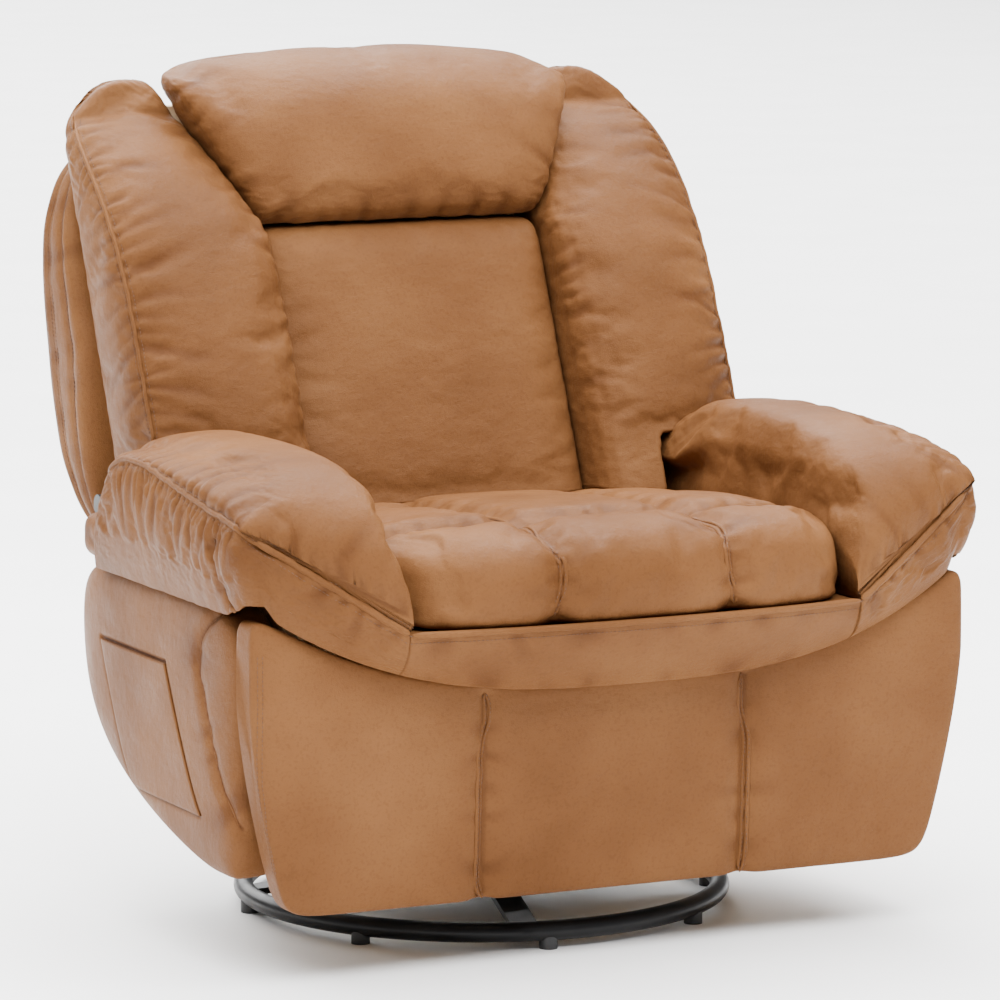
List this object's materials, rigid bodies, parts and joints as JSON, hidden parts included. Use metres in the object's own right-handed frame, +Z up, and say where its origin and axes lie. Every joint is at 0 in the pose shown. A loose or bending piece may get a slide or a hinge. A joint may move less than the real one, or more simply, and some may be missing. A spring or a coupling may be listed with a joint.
{
  "type": "swivel glider recliner",
  "caption": "Padded swivel glider recliner on a round tube base, with a back that reclines and a front panel that folds out as a footrest.",
  "frame": {"origin": "on the floor under the swivel axis, which is also the middle of the chair's box seen from above", "axes": "+Z up, the chair faces -Y, +X is the sitter's left"},
  "size_m": [0.957, 0.8948, 1.0137],
  "materials": {
    "leather_pad": "satin",
    "black_metal": "satin",
    "steel": "satin",
    "timber": "matte",
    "black_plastic": "matte"
  },
  "bodies": {
    "base": {"base_ring": "black_metal", "base_feet": "black_plastic", "bearing_lower_race": "steel", "bearing_balls": "steel", "swivel_spindle": "steel", "spindle_nut": "steel"},
    "turntable": {"bearing_upper_race": "steel", "turntable_plate": "black_metal", "glide_stands": "black_metal", "glide_upper_pins": "steel"},
    "front_glide": {"front_glide_links": "black_metal"},
    "rear_glide": {"rear_glide_links": "black_metal"},
    "seat_body": {"glide_rails": "black_metal", "cross_tubes": "steel", "mechanism_plates": "black_metal", "seat_frame": "timber", "seat_springs": "steel", "seat_cushion": "leather_pad", "seat_lip": "leather_pad", "arm_frame_left": "timber", "arm_frame_right": "timber", "arm_pad_left": "leather_pad", "arm_pad_right": "leather_pad", "arm_band_left": "leather_pad", "arm_band_right": "leather_pad", "rear_roll_left": "leather_pad", "rear_roll_right": "leather_pad", "side_panel_left": "leather_pad", "side_panel_right": "leather_pad", "side_pocket": "leather_pad", "rear_panel": "leather_pad", "lever_plate": "black_plastic", "recline_pins": "steel"},
    "back": {"back_frame": "timber", "back_shell": "leather_pad", "back_cushion": "leather_pad", "head_pillow": "leather_pad", "wing_left": "leather_pad", "wing_right": "leather_pad", "hinge_brackets": "black_metal", "hinge_caps": "black_plastic"},
    "rear_links": {"footrest_rear_links": "steel"},
    "slide_links": {"footrest_slide_links": "steel"},
    "front_links": {"footrest_front_links": "steel"},
    "cross_links": {"footrest_cross_links": "steel"},
    "closing_links": {"footrest_closing_links": "steel"},
    "footrest": {"footrest_brackets": "steel", "footrest_board": "timber", "footrest_pad": "leather_pad"},
    "lever": {"release_lever": "black_plastic"}
  },
  "joints": [
    {"name": "swivel", "type": "hinge", "parent": "base", "child": "turntable", "pos_m": [0, 0, 0.076], "axis": [0, 0, 1], "continuous": true},
    {"name": "glide", "type": "hinge", "parent": "turntable", "child": "front_glide", "pos_m": [0, -0.11, 0.259], "axis": [-1, 0, 0], "range_deg": [-12, 12]},
    {"name": "rear_glide_swing", "type": "hinge", "parent": "turntable", "child": "rear_glide", "pos_m": [0, 0.11, 0.259], "axis": [-1, 0, 0], "range_deg": [-12.5, 12.5]},
    {"name": "seat_hang", "type": "hinge", "parent": "front_glide", "child": "seat_body", "pos_m": [0, -0.11, 0.159], "axis": [-1, 0, 0], "range_deg": [-12.5, 12.5]},
    {"name": "recline", "type": "hinge", "parent": "seat_body", "child": "back", "pos_m": [0, 0.25, 0.367], "axis": [-1, 0, 0], "range_deg": [0, 38]},
    {"name": "footrest_extend", "type": "hinge", "parent": "seat_body", "child": "rear_links", "pos_m": [0, -0.222, 0.305], "axis": [-1, 0, 0], "range_deg": [0, 79]},
    {"name": "front_link_fold", "type": "hinge", "parent": "rear_links", "child": "front_links", "pos_m": [0, -0.222, 0.111], "axis": [-1, 0, 0], "range_deg": [-158.5, 0.5]},
    {"name": "panel_turn", "type": "hinge", "parent": "front_links", "child": "footrest", "pos_m": [0, -0.25569, 0.30205], "axis": [-1, 0, 0], "range_deg": [-0.5, 158.5]},
    {"name": "slide_link_fold", "type": "hinge", "parent": "rear_links", "child": "slide_links", "pos_m": [0, -0.222, 0.208], "axis": [-1, 0, 0], "range_deg": [-158.5, 0.5]},
    {"name": "cross_link_fold", "type": "hinge", "parent": "front_links", "child": "cross_links", "pos_m": [0, -0.23884, 0.20653], "axis": [-1, 0, 0], "range_deg": [-0.5, 158.5]},
    {"name": "closing_link_fold", "type": "hinge", "parent": "footrest", "child": "closing_links", "pos_m": [0, -0.25569, 0.20505], "axis": [-1, 0, 0], "range_deg": [-158.5, 0.5]},
    {"name": "lever_pull", "type": "hinge", "parent": "seat_body", "child": "lever", "pos_m": [0, -0.06, 0.317], "axis": [-1, 0, 0], "range_deg": [0, 32], "stiffness_Nm_per_rad": 1.2}
  ],
  "couplings": [
    {"joint": "rear_glide_swing", "follows": "glide", "ratio": 1},
    {"joint": "seat_hang", "follows": "glide", "ratio": -1},
    {"joint": "front_link_fold", "follows": "footrest_extend", "ratio": -2},
    {"joint": "panel_turn", "follows": "footrest_extend", "ratio": 2},
    {"joint": "slide_link_fold", "follows": "footrest_extend", "ratio": -2},
    {"joint": "cross_link_fold", "follows": "footrest_extend", "ratio": 2},
    {"joint": "closing_link_fold", "follows": "footrest_extend", "ratio": -2}
  ]
}
